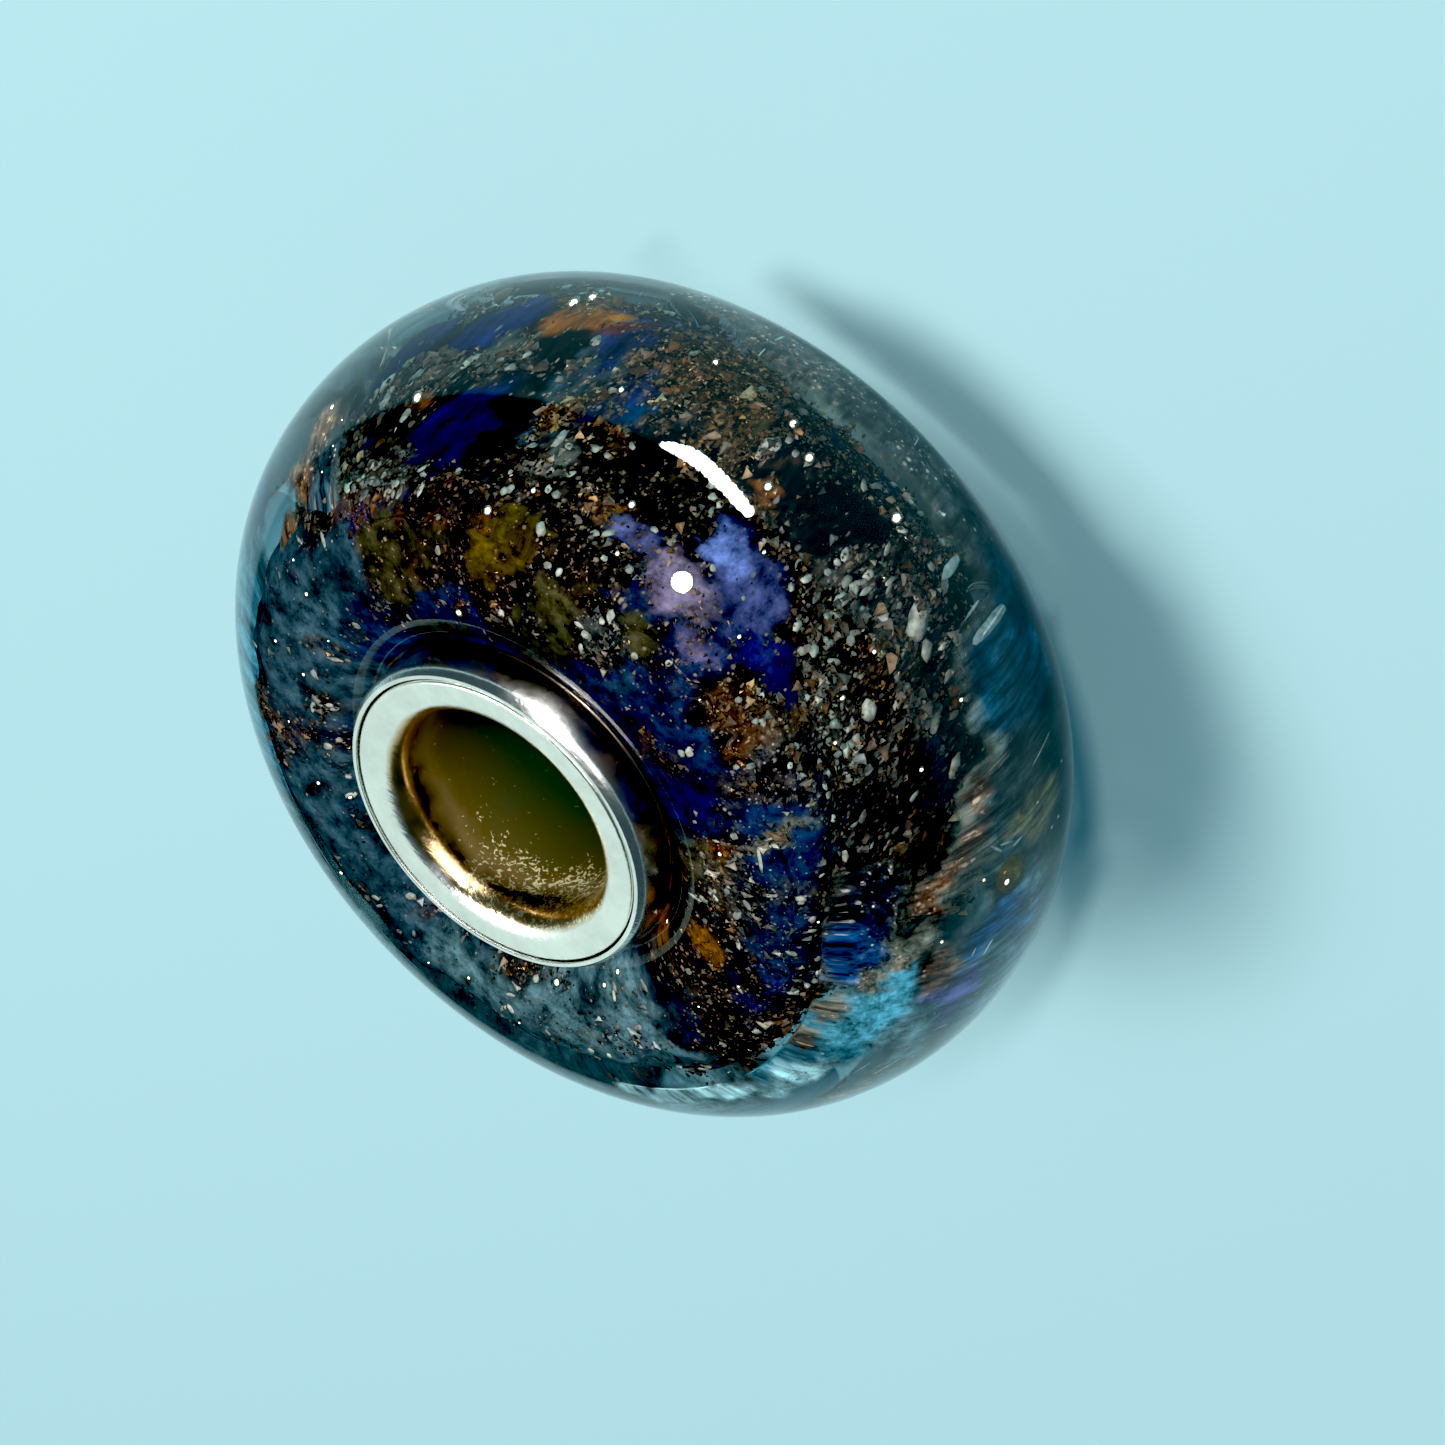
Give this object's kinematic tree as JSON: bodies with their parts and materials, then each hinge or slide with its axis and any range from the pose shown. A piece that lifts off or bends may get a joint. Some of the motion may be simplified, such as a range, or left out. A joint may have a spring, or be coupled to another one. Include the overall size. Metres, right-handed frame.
{
  "type": "european charm bead",
  "caption": "Barrel-shaped clear glass bead over a speckled coloured core, on a flared silver tube with collars, threaded on a bracelet.",
  "frame": {"origin": "centre of the bore, halfway between the two silver faces", "axes": "+Z along the bore, up from the face that the bead lies on; +Y away from the picture's camera"},
  "size_m": [0.014, 0.014, 0.0076],
  "materials": {
    "clear_glass": "polished clear glass",
    "core_glass": "dark cobalt glass with chips and glitter",
    "silver": "polished silver with light scratches"
  },
  "bodies": {
    "root": {"clear_casing": "clear_glass", "color_core": "core_glass", "silver_tube": "silver", "collar_top": "silver", "collar_bottom": "silver"}
  },
  "joints": []
}
